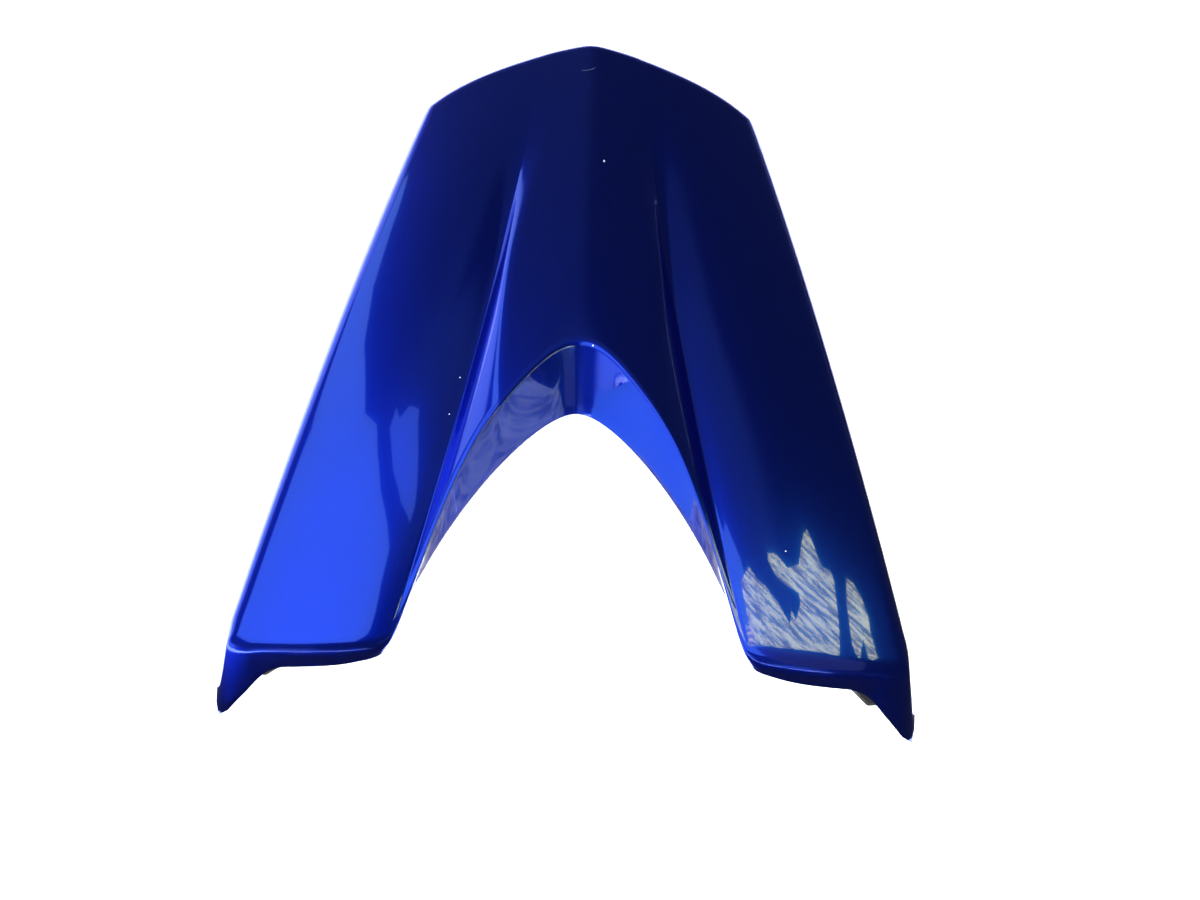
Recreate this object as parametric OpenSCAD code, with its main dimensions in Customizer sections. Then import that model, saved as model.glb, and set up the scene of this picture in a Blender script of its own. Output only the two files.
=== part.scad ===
// Rear seat cowl for a motorcycle: one thin-walled moulding with two arms
// around a seat cut-out, and two foam strips inside the front lips.
// Millimetres. X across, +Y to the rear point, Z up, resting on its lower edges.

/* [Length and width] */

// From the datum line to the rear point of the top fold
rear_l = 185.7; // [165:0.1:205]
// From the datum line to the front fold of the arms
arm_l = 138; // [125:0.5:155]
// Width between the shoulder folds at the arm fronts
front_w = 275; // [250:1:300]
// Width between the shoulder folds at the rear corners
rear_w = 157; // [140:1:180]
// Width over the raised spine at the cut-out
spine_w = 74; // [64:1:84]
// Width over the raised spine at the rear
spine_rear_w = 44; // [36:1:54]
// Width between the two creases at the arm fronts
crease_w = 151; // [140:1:164]

/* [Heights] */

// Ridge of the spine above the floor at the cut-out
ridge_h = 69.5; // [62:0.5:78]
// Rear point of the ridge above the floor
tail_h = 56; // [50:0.5:60]
// Shoulder fold above the floor at the rear corners
shoulder_rear_h = 46.5; // [42:0.5:50]
// Shoulder fold above the floor at the arm fronts
shoulder_front_h = 42.5; // [39:0.5:47]
// Bottom of the crease at the arm fronts
crease_front_h = 39; // [36:0.5:42]
// How far the spine's shoulder lies below its ridge at the cut-out
roof_drop = 6; // [3:0.5:9]
// Rise of the side panels above a straight line from crease to shoulder
panel_crown = 4.2; // [2:0.1:6]

/* [Creases] */

// Softening of crease and flank at the rear
soft_rear = 7; // [4:0.5:9]
// Softening of crease and flank at the front
soft_front = 1; // [0.5:0.1:2]
// Share of the length over which the crease comes up from nothing
crease_start = 0.3; // [0.2:0.05:0.4]

/* [Seat cut-out] */

// Crown of the upper edge in front of the datum line
cut_top_y = 3.8; // [0:0.1:10]
// Crown of the lower edge in front of the datum line
cut_low_y = 29; // [24:0.5:34]
// Lower edge of the cut-out above the floor at its crown
cut_low_h = 42; // [38:0.5:46]
// Lower lip of the arm fronts above the floor
lip_h = 31; // [27:0.5:33]

/* [Edges and walls] */

// Thickness of the moulding
wall = 2.4; // [2:0.1:2.8]
// Outward slope of the skirts from upright, in degrees
flare_deg = 15; // [8:0.5:18]
// Set-back of the shoulder rounding
edge_side = 6.2; // [5:0.1:8]
// Set-back of the front rounding
edge_front = 6; // [5:0.1:8]
// Set-back of the rear rounding
edge_rear = 6; // [5:0.1:8]
// Set-back of the cut-out rounding
edge_cut = 2.6; // [2.4:0.1:3.4]
// Forward reach of the skirt tips
toe_l = 12; // [6:0.5:14]
// Inward turn of the skirt tips, as a share of their reach
toe_in = 0.05; // [0:0.01:0.2]
// Rise of the rear lower edge at the middle
tail_rise = 28; // [10:1:32]

/* [Fixings] */

// Distance of the front bosses from the middle
boss_front_x = 101; // [92:0.5:110]
// Front bosses behind the front fold
boss_front_back = 42; // [30:1:50]
// Distance of the rear bosses from the middle
boss_rear_x = 66; // [60:0.5:74]
// Rear bosses in front of the rear point
boss_rear_fore = 93.7; // [80:0.1:105]
// Outside diameter of a boss
boss_d = 10; // [9:0.5:12]
// Bore of a boss, for a 5 mm self-tapping screw
boss_bore = 4.4; // [3.8:0.1:5]
// Depth of the bore
boss_depth = 16; // [12:0.5:18]
// Underside of the bosses above the floor
boss_foot = 24; // [20:0.5:27]
// Middle of the fixing tab above the floor
tab_h = 18; // [16:0.5:20]
// Thickness of a fixing tab
tab_t = 3; // [2.5:0.1:4]
// Hole in a fixing tab, for a 6 mm screw
tab_bore = 6.6; // [6:0.1:7.4]
// Tab holes inside the shoulder fold
tab_in = 7.5; // [5:0.5:12]
// Tab holes in front of the front fold
tab_fore = 2; // [-4:0.5:5]
// Depth of the stiffening ribs
rib_h = 7; // [4:0.5:10]
// Thickness of the stiffening ribs
rib_t = 2; // [1.6:0.1:2.4]

/* [Foam strips] */

// Inner end of the left strip, inside the shoulder fold
foam_left_in = 35.5; // [32:0.5:40]
// Inner end of the right strip, inside the shoulder fold
foam_right_in = 31.5; // [28:0.5:38]
// Thickness of a foam strip
foam_t = 4; // [3:0.5:6]
// Length of the left strip
foam_left_l = 26; // [20:1:30]
// Length of the right strip
foam_right_l = 15; // [12:1:20]
// Reach of the foam below the lip
foam_reach = 2.2; // [1:0.1:4]

/* [Hidden] */

flare = tan(flare_deg);
spine_x = spine_w / 2;
spine_rx = spine_rear_w / 2;
crease_x = crease_w / 2;
front_x = front_w / 2;
rear_x = rear_w / 2;
crease_rx = spine_rx + 3;
boss_front_y = arm_l - boss_front_back;
boss_rear_y = rear_l - boss_rear_fore;
tab_y = arm_l + tab_fore;
tab_x = front_x - tab_in;
roof_h = ridge_h - roof_drop;
mean_h = (shoulder_rear_h + shoulder_front_h) / 2;

// Cells across the roof, the flank and the panel of one half, and along it
roof_n = 6;
flank_n = 8;
panel_n = 10;
row_n = 26;
half_n = roof_n + flank_n + panel_n;
wide_n = 2 * half_n;
crease_n = roof_n + flank_n;
fillet_n = 4;
wall_n = 2;
ring_n = fillet_n + wall_n;
loop_n = 2 * (wide_n + row_n);

function mix(a, b, t) = a + (b - a) * t;
function unit(v) = v / norm(v);
function curve(p, t) =
    let (u = 1 - t)
    u * u * u * p[0] + 3 * u * u * t * p[1] + 3 * u * t * t * p[2] + t * t * t * p[3];
function bow(p, t) = curve(p, t) - mix(p[0], p[3], t);

// Feature lines from the rear to the front
ridge = [
    [0, rear_l, tail_h],
    [0, 0.43 * rear_l, mix(tail_h, ridge_h, 0.78)],
    [0, 0.16 * rear_l, ridge_h - 0.3],
    [0, -cut_top_y, ridge_h]
];
flank_top = [
    [spine_rx, rear_l - 5.9, tail_h - 2],
    [0.98 * spine_x, 0.43 * rear_l, mix(tail_h, roof_h, 0.68)],
    [1.01 * spine_x, 0.05 * rear_l, roof_h],
    [spine_x, -cut_top_y - 34, roof_h]
];
crease = [
    [crease_rx, rear_l - 7.2, tail_h - 2.7],
    [0.89 * spine_x, 0.43 * rear_l, tail_h + 1],
    [0.64 * crease_x, -0.1 * arm_l, mix(crease_front_h, tail_h, 0.78)],
    [crease_x, -arm_l, crease_front_h]
];
shoulder = [
    [rear_x, rear_l - 35.5, shoulder_rear_h],
    [0.72 * front_x, 0.38 * rear_l, mean_h + 3.5],
    [0.88 * front_x, -0.29 * arm_l, mean_h + 1.5],
    [front_x, -arm_l - 3.5, shoulder_front_h]
];

// Edges of the top at the rear and at the front
rear_in = [
    ridge[0],
    ridge[0] + [8, -1.5, -0.6],
    flank_top[0] + [-7, 2.4, 0.8],
    flank_top[0]
];
rear_out = [
    crease[0],
    crease[0] + [17, -6.5, -1.8],
    shoulder[0] + [-14, 13, 2.5],
    shoulder[0]
];
cut_in = [
    ridge[3],
    ridge[3] + [13, 0, 0],
    flank_top[3] + [-10, 13, 2.5],
    flank_top[3]
];
cut_out = [
    flank_top[3],
    flank_top[3] + [17, -20, -8],
    crease[3] + [-10.5, 38, 6],
    crease[3]
];
front = [
    crease[3],
    crease[3] + [16, -3.4, 4],
    shoulder[3] + [-21, -4, 2.5],
    shoulder[3]
];
low_in = [
    [0, -cut_low_y, cut_low_h],
    [14, -cut_low_y, cut_low_h],
    [0.53 * crease_x, -cut_low_y - 31, cut_low_h - 2],
    [0.755 * crease_x, -0.67 * arm_l, cut_low_h - 6]
];
low_out = [
    low_in[3],
    [0.89 * crease_x, -0.8 * arm_l, cut_low_h - 8.5],
    [0.95 * crease_x, -0.9 * arm_l, lip_h + 0.5],
    [crease_x + 5, -arm_l - 6.5, lip_h]
];

// A point of the top: s runs from the rear to the front, t outward in a strip
function roof_pt(s, t) =
    mix(curve(ridge, s), curve(flank_top, s), t)
    + (1 - s) * bow(rear_in, t)
    + s * s * s * bow(cut_in, t)
    + [0, 0, 1.6 * t * (1 - t)];
function flank_pt(s, t) =
    let (a = curve(flank_top, s), b = curve(crease, s), d = bow(cut_out, t))
    [
        mix(a[0], b[0], t) + s * s * d[0],
        mix(a[1], b[1], t) + s * s * d[1],
        mix(a[2], b[2], 1.28 * t - 0.28 * pow(t, 4))
    ];
function panel_pt(s, t) =
    mix(curve(crease, s), curve(shoulder, s), t)
    + (1 - s) * bow(rear_out, t)
    + s * bow(front, t)
    + [0, 0, panel_crown * (0.25 + 0.75 * sin(18 + 162 * s)) * t * (1 - t) * (5.5 - 3.7 * t)];
function top_pt(s, c) =
    c[0] == 0 ? roof_pt(s, c[1]) : c[0] == 1 ? flank_pt(s, c[1]) : panel_pt(s, c[1]);

function ease(t, k) = (1 - k) * t + k * (1 - cos(180 * t)) / 2;
columns = concat(
    [for (j = [0:roof_n - 1]) [0, j / roof_n]],
    [for (j = [0:flank_n - 1]) [1, j / flank_n]],
    [for (j = [0:panel_n]) [2, ease(j / panel_n, 0.6)]]
);
function settle(t) = let (c = max(0, min(1, t))) c * c * (3 - 2 * c);
// A row split into a plain crown and what stands off it, smoothed across and
// faded out towards the rear
function crown_z(r, p) =
    let (f = p[0] / r[half_n][0])
    mix(r[0][2], r[half_n][2], 0.55 * f + 0.45 * f * f * f);
function bell(d, w) = exp(-d * d / (2 * w * w));
function soft_row(r, s) =
    let (
        w = mix(soft_rear, soft_front, settle(s / 0.6)),
        last = r[half_n][0],
        off = [for (p = r) p[2] - crown_z(r, p)],
        share = [
            for (j = [0:half_n]) (r[min(half_n, j + 1)][0] - r[max(0, j - 1)][0]) / 2
        ],
        ones = [for (p = r) 1]
    )
    [
        for (p = r)
        let (
            near = [
                for (m = [0:half_n])
                share[m] * (bell(p[0] - r[m][0], w) + bell(p[0] + r[m][0], w))
            ],
            beyond = [for (m = [0:half_n]) share[m] * bell(2 * last - p[0] - r[m][0], w)]
        )
        [
            p[0],
            p[1],
            crown_z(r, p) + settle(s / crease_start) * ((near - beyond) * off) / ((near + beyond) * ones)
        ]
    ];
half = [
    for (i = [0:row_n])
    let (s = ease(i / row_n, 0.5))
    soft_row([for (c = columns) top_pt(s, c)], s)
];
grid = [
    for (r = half)
    concat([for (j = [half_n:-1:1]) [-r[j][0], r[j][1], r[j][2]]], r)
];

// The edge of the top, clockwise from the rear left corner, as grid places
loop = concat(
    [for (j = [0:wide_n - 1]) [0, j]],
    [for (i = [0:row_n - 1]) [i, wide_n]],
    [for (j = [wide_n:-1:1]) [row_n, j]],
    [for (i = [row_n:-1:1]) [i, 0]]
);
function clamp(x, a, b) = max(a, min(b, x));
function wrap(k) = (k + loop_n) % loop_n;
function blur(v) =
    [for (k = [0:loop_n - 1]) (v[wrap(k - 1)] + 2 * v[k] + v[wrap(k + 1)]) / 4];
edge = [for (p = loop) grid[p[0]][p[1]]];
inside = [for (p = loop) grid[clamp(p[0], 1, row_n - 1)][clamp(p[1], 1, wide_n - 1)]];
column = [for (p = loop) abs(p[1] - half_n)];

function plan_n(k) =
    let (d = edge[wrap(k + 1)] - edge[wrap(k)])
    [-d[1], d[0]] / norm([d[0], d[1]]);
function mitre(k) =
    let (a = plan_n(wrap(k - 1)), b = plan_n(k))
    (a + b) / (1 + a * b);
out_sharp = [for (k = [0:loop_n - 1]) mitre(k)];
out = blur(out_sharp);
fall = blur(blur([
    for (k = [0:loop_n - 1])
    let (
        f = cross(edge[wrap(k + 1)] - edge[wrap(k - 1)], edge[k] - inside[k]),
        n = out_sharp[k] / norm(out_sharp[k])
    )
    clamp(-(f[0] * n[0] + f[1] * n[1]) / f[2], -0.9, 0.5)
]));
set_back = blur(blur([
    for (k = [0:loop_n - 1])
    loop[k][0] == 0 ? edge_rear
    : loop[k][0] < row_n ? edge_side
    : column[k] <= crease_n ? edge_cut : edge_front
]));
virtual = [
    for (k = [0:loop_n - 1])
    let (f = set_back[k] / sqrt(1 + fall[k] * fall[k]))
    edge[k] + f * [out[k][0], out[k][1], fall[k]]
];

// The lower edge of every wall
tip_x = virtual[wide_n + row_n][0];
rear_tip_x = virtual[wide_n][0];
function toe(k) =
    loop[k][0] == row_n && column[k] > crease_n
        ? pow(clamp((abs(virtual[k][0]) - 0.86 * tip_x) / (0.14 * tip_x), 0, 1), 2)
    : loop[k][0] > 0 && loop[k][0] < row_n
        ? exp((virtual[wide_n + row_n][1] - virtual[k][1]) / 8)
    : 0;
function low_z(k) =
    let (x = abs(virtual[k][0]))
    loop[k][0] == 0 ? tail_rise * pow(1 - pow(min(1, x / rear_tip_x), 2), 2)
    : loop[k][0] < row_n ? 0
    : lip_h * (1 - pow(clamp((x - 0.78 * tip_x) / (0.22 * tip_x), 0, 1), 3));
function low_flare(k) =
    loop[k][0] == 0 ? flare * (0.35 + 0.65 * min(1, abs(virtual[k][0]) / rear_tip_x)) : flare;
function low_cut(h, side) =
    let (t = h / crease_n)
    let (p = t < 0.7 ? curve(low_in, t / 0.7) : curve(low_out, (t - 0.7) / 0.3))
    [side * p[0], p[1], p[2]];
function low_skirt(k) =
    let (z = low_z(k), d = (virtual[k][2] - z) * low_flare(k))
    [
        virtual[k][0] + d * out[k][0] - sign(virtual[k][0]) * toe_in * toe_l * toe(k),
        virtual[k][1] + d * out[k][1] - toe_l * toe(k),
        z
    ];
low_sharp = [
    for (k = [0:loop_n - 1])
    loop[k][0] == row_n && column[k] <= crease_n
        ? low_cut(column[k], sign(loop[k][1] - half_n))
        : low_skirt(k)
];
low_soft = blur(blur(low_sharp));
low = [
    for (k = [0:loop_n - 1])
    loop[k][0] == row_n && abs(column[k] - crease_n) < 4 ? low_soft[k] : low_sharp[k]
];

// The walls: a rounding below the edge, then a straight fall to the lower edge
function foot(k) =
    let (d = low[k] - virtual[k])
    virtual[k] + d * min(0.6, set_back[k] / norm(d));
function ring_pt(r, k) =
    r <= fillet_n
        ? let (t = r / fillet_n, u = 1 - t, f = foot(k))
            u * u * edge[k] + 2 * u * t * virtual[k] + t * t * f
        : mix(foot(k), low[k], (r - fillet_n) / wall_n);
ring = [for (r = [0:ring_n]) [for (k = [0:loop_n - 1]) ring_pt(r, k)]];

// The inside, one wall thickness below
function grid_n(i, j) =
    unit(cross(
        grid[i + 1][j] - grid[i - 1][j],
        grid[i][j + 1] - grid[i][j - 1]
    ));
function ring_normal(r, k) =
    unit(cross(
        ring[r][wrap(k + 1)] - ring[r][wrap(k - 1)],
        (r < ring_n ? ring[r + 1][k] : ring[r][k]) - (r > 0 ? ring[r - 1][k] : inside[k])
    ));
function ring_in(r, k) =
    let (p = ring[r][k] - wall * ring_normal(r, k))
    r < ring_n ? p : [p[0], p[1], ring[r][k][2]];
lining = [for (r = [0:ring_n]) [for (k = [0:loop_n - 1]) ring_in(r, k)]];

function grid_at(i, j) =
    i == 0 ? j
    : j == wide_n ? wide_n + i
    : i == row_n ? 2 * wide_n + row_n - j
    : j == 0 ? loop_n - i
    : loop_n + (i - 1) * (wide_n - 1) + j - 1;
face_n = loop_n + (row_n - 1) * (wide_n - 1);
function ring_at(r, k) = r == 0 ? wrap(k) : face_n + (r - 1) * loop_n + wrap(k);
skin_n = face_n + ring_n * loop_n;
outer_pts = concat(
    edge,
    [for (i = [1:row_n - 1]) for (j = [1:wide_n - 1]) grid[i][j]],
    [for (r = [1:ring_n]) for (k = [0:loop_n - 1]) ring[r][k]]
);
inner_pts = concat(
    lining[0],
    [for (i = [1:row_n - 1]) for (j = [1:wide_n - 1]) grid[i][j] - wall * grid_n(i, j)],
    [for (r = [1:ring_n]) for (k = [0:loop_n - 1]) lining[r][k]]
);
function split(a, b, c, d) =
    norm(outer_pts[a] - outer_pts[c]) < norm(outer_pts[b] - outer_pts[d])
        ? [[a, b, c], [a, c, d]] : [[a, b, d], [b, c, d]];
// The row is centred over the middle of its outline
ys = [for (p = outer_pts) p[1]];
mid_y = (max(ys) + min(ys)) / 2;
skin = concat(
    [
        for (i = [0:row_n - 1]) for (j = [0:wide_n - 1])
        for (f = split(grid_at(i, j), grid_at(i, j + 1), grid_at(i + 1, j + 1), grid_at(i + 1, j))) f
    ],
    [
        for (r = [0:ring_n - 1]) for (k = [0:loop_n - 1])
        for (f = split(ring_at(r, k), ring_at(r + 1, k), ring_at(r + 1, k + 1), ring_at(r, k + 1))) f
    ]
);
rim = [
    for (k = [0:loop_n - 1])
    let (a = ring_at(ring_n, k), b = ring_at(ring_n, k + 1))
    for (f = [[a, a + skin_n, b + skin_n], [a, b + skin_n, b]]) f
];

module shell_skin() {
    polyhedron(
        points = concat(outer_pts, inner_pts),
        faces = concat(skin, [for (f = skin) [f[2] + skin_n, f[1] + skin_n, f[0] + skin_n]], rim)
    );
}

// Height of a side panel's outside over a place on the floor
function panel_z(x, y, s = 0.6, t = 0.5, n = 6) =
    let (p = panel_pt(s, t))
    n == 0 ? p[2]
    : let (
        e = 0.001,
        u = (panel_pt(s + e, t) - p) / e,
        v = (panel_pt(s, t + e) - p) / e,
        d = u[0] * v[1] - u[1] * v[0],
        dx = x - p[0],
        dy = y - p[1]
    )
    panel_z(x, y, s + (dx * v[1] - dy * v[0]) / d, t + (u[0] * dy - u[1] * dx) / d, n - 1);

// Screw bosses, their tops in the middle of the wall
module boss_pair(x, y) {
    top = panel_z(x, y) - wall / 2;
    for (side = [-1, 1])
        translate([side * x, y, boss_foot])
            cylinder(d = boss_d, h = top - boss_foot, $fn = 64);
}

module bore_pair(x, y) {
    for (side = [-1, 1])
        translate([side * x, y, boss_foot - 1])
            cylinder(d = boss_bore, h = boss_depth + 1, $fn = 64);
}

// Rows of the top that carry a rib, under the panels and under the spine
panel_ribs = [6, 11, 16, 20];
roof_ribs = [11];
// A rib under row i of the top, through the given columns
module rib(i, js) {
    n = len(js);
    pts = [
        for (m = [0:n - 1])
        let (
            j = js[m],
            p = grid[i][j] - wall / 2 * grid_n(i, j),
            d = grid[i][j + 1] - grid[i][j - 1],
            w = rib_t / 2 * [-d[1], d[0], 0] / norm([d[0], d[1]]),
            h = [0, 0, wall / 2 + 0.3 + rib_h * pow(sin(180 * m / (n - 1)), 0.5)]
        )
        for (q = [p + w, p - w, p - w - h, p + w - h]) q
    ];
    sides = [
        for (m = [0:n - 2]) for (c = [0:3])
        let (a = 4 * m + c, b = 4 * m + (c + 1) % 4)
        for (f = [[a, b + 4, b], [a, a + 4, b + 4]]) f
    ];
    last = 4 * n - 4;
    polyhedron(
        points = pts,
        faces = concat(
            sides,
            [[0, 1, 2], [0, 2, 3], [last + 2, last + 1, last], [last + 3, last + 2, last]]
        )
    );
}

// The middle of a skirt's wall at height z
function skirt_mid(k, z) =
    let (
        a = ring[fillet_n][k],
        b = ring[ring_n][k],
        p = mix(a, b, (a[2] - z) / (a[2] - b[2])) - wall / 2 * ring_normal(ring_n - 1, k)
    )
    [p[0], p[1]];
corner_k = wide_n + row_n;
function tab_plan(nose) = concat(
    [for (k = [corner_k - 6:corner_k + 1]) skirt_mid(k, tab_h)],
    [
        [tab_x + 3.5, -arm_l - 12.5 - nose],
        [tab_x - 0.5, -arm_l - 13 - nose],
        [tab_x - 10, -arm_l - 6],
        [tab_x - 11, -arm_l + 12]
    ]
);

module tab(nose) {
    difference() {
        translate([0, 0, tab_h - tab_t / 2])
            linear_extrude(tab_t)
            polygon(tab_plan(nose));
        translate([tab_x, -tab_y, tab_h - tab_t])
            cylinder(d = tab_bore, h = 2 * tab_t, $fn = 64);
    }
}

module bosses() {
    difference() {
        union() {
            boss_pair(boss_front_x, -boss_front_y);
            boss_pair(boss_rear_x, boss_rear_y);
        }
        bore_pair(boss_front_x, -boss_front_y);
        bore_pair(boss_rear_x, boss_rear_y);
    }
}

module cowl_shell() {
    color([0.06, 0.10, 0.55])
        translate([0, -mid_y, 0])
        union() {
            shell_skin();
            bosses();
            tab(3);
            mirror([1, 0, 0]) tab(0);
            for (i = panel_ribs) {
                rib(i, [for (j = [crease_n + 1:half_n - 1]) half_n + j]);
                rib(i, [for (j = [-half_n + 1:-crease_n - 1]) half_n + j]);
            }
            for (i = roof_ribs)
                rib(i, [for (j = [-roof_n:roof_n]) half_n + j]);
        }
}

// Inside of the front wall at height z, as places across
function front_line(z) = [
    for (k = [corner_k + panel_n:-1:corner_k])
    let (a = lining[fillet_n][k], b = lining[ring_n][k])
    let (p = mix(a, b, (a[2] - z) / (a[2] - b[2])))
    [p[0], p[1]]
];
lip_line = [
    for (k = [corner_k + panel_n:-1:corner_k]) [lining[ring_n][k][0], lining[ring_n][k][2]]
];

// A foam strip from x0 outward, its lower edge ragged by the given amount
module foam(x0, length, reach0, reach1, rag) {
    n = 18;
    pts = [
        for (m = [0:n])
        let (
            x = x0 + length * m / n,
            lip = lookup(x, lip_line),
            low_h = lip - mix(reach0, reach1, m / n) + rag * (sin(m * 131) + 0.6 * sin(m * 47)),
            top_h = lip + 8,
            y0 = lookup(x, front_line(top_h)) + 0.1,
            y1 = lookup(x, front_line(low_h)) + 0.1
        )
        for (q = [[x, y0, top_h], [x, y1, low_h], [x, y1 + foam_t, low_h], [x, y0 + foam_t, top_h]]) q
    ];
    sides = [
        for (m = [0:n - 1]) for (c = [0:3])
        let (a = 4 * m + c, b = 4 * m + (c + 1) % 4)
        for (f = [[a, b + 4, b], [a, a + 4, b + 4]]) f
    ];
    last = 4 * n;
    polyhedron(
        points = pts,
        faces = concat(
            sides,
            [[0, 1, 2], [0, 2, 3], [last + 2, last + 1, last], [last + 3, last + 2, last]]
        )
    );
}

module foam_strip_left() {
    color([0.05, 0.05, 0.05])
        translate([0, -mid_y, 0])
        mirror([1, 0, 0])
        foam(front_x - foam_left_in, foam_left_l, foam_reach, foam_reach - 0.4, 0.5);
}

module foam_strip_right() {
    color([0.05, 0.05, 0.05])
        translate([0, -mid_y, 0])
        foam(front_x - foam_right_in, foam_right_l, foam_reach - 0.8, foam_reach + 1.2, 0.08);
}

cowl_shell();
foam_strip_left();
foam_strip_right();
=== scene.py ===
# %% [markdown]
# # A motorcycle seat cowl in candy blue
# The cowl covers the passenger seat of a sporty motorcycle. It is one thin moulding of black
# plastic, painted outside. Two arms reach forward round an arch for the rider's seat, a
# raised spine runs back to a blunt point, and a strip of black foam sits inside each arm's
# front lip. This lesson builds its looks on top of the measured solids, which are loaded
# first and stay as they are.

import math

import bpy
import numpy as np
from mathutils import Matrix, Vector, noise


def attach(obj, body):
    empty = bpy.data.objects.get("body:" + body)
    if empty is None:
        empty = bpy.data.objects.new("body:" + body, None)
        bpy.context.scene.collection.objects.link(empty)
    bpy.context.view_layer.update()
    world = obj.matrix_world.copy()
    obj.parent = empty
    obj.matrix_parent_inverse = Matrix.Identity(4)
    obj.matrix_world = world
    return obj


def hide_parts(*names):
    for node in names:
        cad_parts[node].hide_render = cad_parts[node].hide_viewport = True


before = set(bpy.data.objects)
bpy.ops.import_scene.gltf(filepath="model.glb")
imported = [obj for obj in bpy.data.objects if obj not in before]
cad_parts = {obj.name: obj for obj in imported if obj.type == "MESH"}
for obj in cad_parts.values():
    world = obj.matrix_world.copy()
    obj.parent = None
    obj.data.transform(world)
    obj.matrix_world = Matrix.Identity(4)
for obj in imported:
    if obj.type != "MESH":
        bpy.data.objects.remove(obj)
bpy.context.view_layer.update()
print("solids:", sorted(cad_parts))


# %% [markdown]
# ## Sizes
# All sizes are in millimetres and are the ones that the solids were made with, so that
# the smooth surfaces built here fit them. They are turned into metres when a mesh is made.
# The datum line crosses the cowl just behind the arch. Y runs to the rear point.

# %% Sizes of the moulding
MM = 0.001
DATUM_Y = 15.034
REAR_L, ARM_L = 185.7, 138.0
FRONT_X, REAR_X = 137.5, 78.5
SPINE_X, SPINE_REAR_X = 37.0, 22.0
CREASE_X = 75.5
CREASE_REAR_X = SPINE_REAR_X + 3
RIDGE_H, TAIL_H, ROOF_DROP = 69.5, 56.0, 6.0
ROOF_H = RIDGE_H - ROOF_DROP
SHOULDER_REAR_H, SHOULDER_FRONT_H = 46.5, 42.5
MEAN_H = (SHOULDER_REAR_H + SHOULDER_FRONT_H) / 2
CREASE_FRONT_H, PANEL_CROWN = 39.0, 4.2
CUT_TOP_Y, CUT_LOW_Y, CUT_LOW_H, LIP_H = 3.8, 29.0, 42.0, 31.0
WALL, FLARE = 2.4, math.tan(math.radians(15))
EDGE_SIDE, EDGE_FRONT, EDGE_REAR, EDGE_CUT = 6.2, 6.0, 6.0, 2.6
TOE_L, TOE_IN, TAIL_RISE = 12.0, 0.05, 28.0
BOSSES = [(101.0, -96.0), (66.0, 92.0)]
BOSS_D, BOSS_BORE, BOSS_DEPTH, BOSS_FOOT = 10.0, 4.4, 16.0, 24.0
TAB_H, TAB_T, TAB_BORE, TAB_X, TAB_Y = 18.0, 3.0, 6.6, 130.0, 140.0
RIB_H, RIB_T = 7.0, 2.0
FOAM_T = 4.0
FOAM_LEFT_IN, FOAM_LEFT_L = 35.5, 26
FOAM_RIGHT_IN, FOAM_RIGHT_L = 31.5, 15


# %% [markdown]
# ## Feature lines
# A moulding like this is drawn from a few flowing lines: the ridge of the spine, the upper
# edge of its flank, the crease at its foot and the shoulder fold along each side. Each
# is one cubic curve with four handles, the way a stylist draws it with a spline.

# %% Curves and feature lines
def mix(a, b, t):
    return a + (b - a) * t


def curve(handles, t):
    """Points of a cubic curve, one for each t."""
    p = np.array(handles, float)
    t = np.asarray(t, float)[..., None]
    u = 1 - t
    return u**3 * p[0] + 3 * u * u * t * p[1] + 3 * u * t * t * p[2] + t**3 * p[3]


def bow(handles, t):
    """How far a curve stands off the straight line between its ends."""
    p = np.array(handles, float)
    t = np.asarray(t, float)
    return curve(handles, t) - mix(p[0], p[3], t[..., None])


def after(point, *steps):
    """Places given by their distance from a point."""
    return [np.array(point, float) + np.array(step, float) for step in steps]


RIDGE = [
    (0, REAR_L, TAIL_H),
    (0, 0.43 * REAR_L, mix(TAIL_H, RIDGE_H, 0.78)),
    (0, 0.16 * REAR_L, RIDGE_H - 0.3),
    (0, -CUT_TOP_Y, RIDGE_H),
]
FLANK_TOP = [
    (SPINE_REAR_X, REAR_L - 5.9, TAIL_H - 2),
    (0.98 * SPINE_X, 0.43 * REAR_L, mix(TAIL_H, ROOF_H, 0.68)),
    (1.01 * SPINE_X, 0.05 * REAR_L, ROOF_H),
    (SPINE_X, -CUT_TOP_Y - 34, ROOF_H),
]
CREASE = [
    (CREASE_REAR_X, REAR_L - 7.2, TAIL_H - 2.7),
    (0.89 * SPINE_X, 0.43 * REAR_L, TAIL_H + 1),
    (0.64 * CREASE_X, -0.1 * ARM_L, mix(CREASE_FRONT_H, TAIL_H, 0.78)),
    (CREASE_X, -ARM_L, CREASE_FRONT_H),
]
SHOULDER = [
    (REAR_X, REAR_L - 35.5, SHOULDER_REAR_H),
    (0.72 * FRONT_X, 0.38 * REAR_L, MEAN_H + 3.5),
    (0.88 * FRONT_X, -0.29 * ARM_L, MEAN_H + 1.5),
    (FRONT_X, -ARM_L - 3.5, SHOULDER_FRONT_H),
]


def span(start, leave, end, arrive):
    """A curve between two lines' ends, by how it leaves one and arrives at the other."""
    return after(start, (0, 0, 0), leave) + after(end, arrive, (0, 0, 0))


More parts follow.
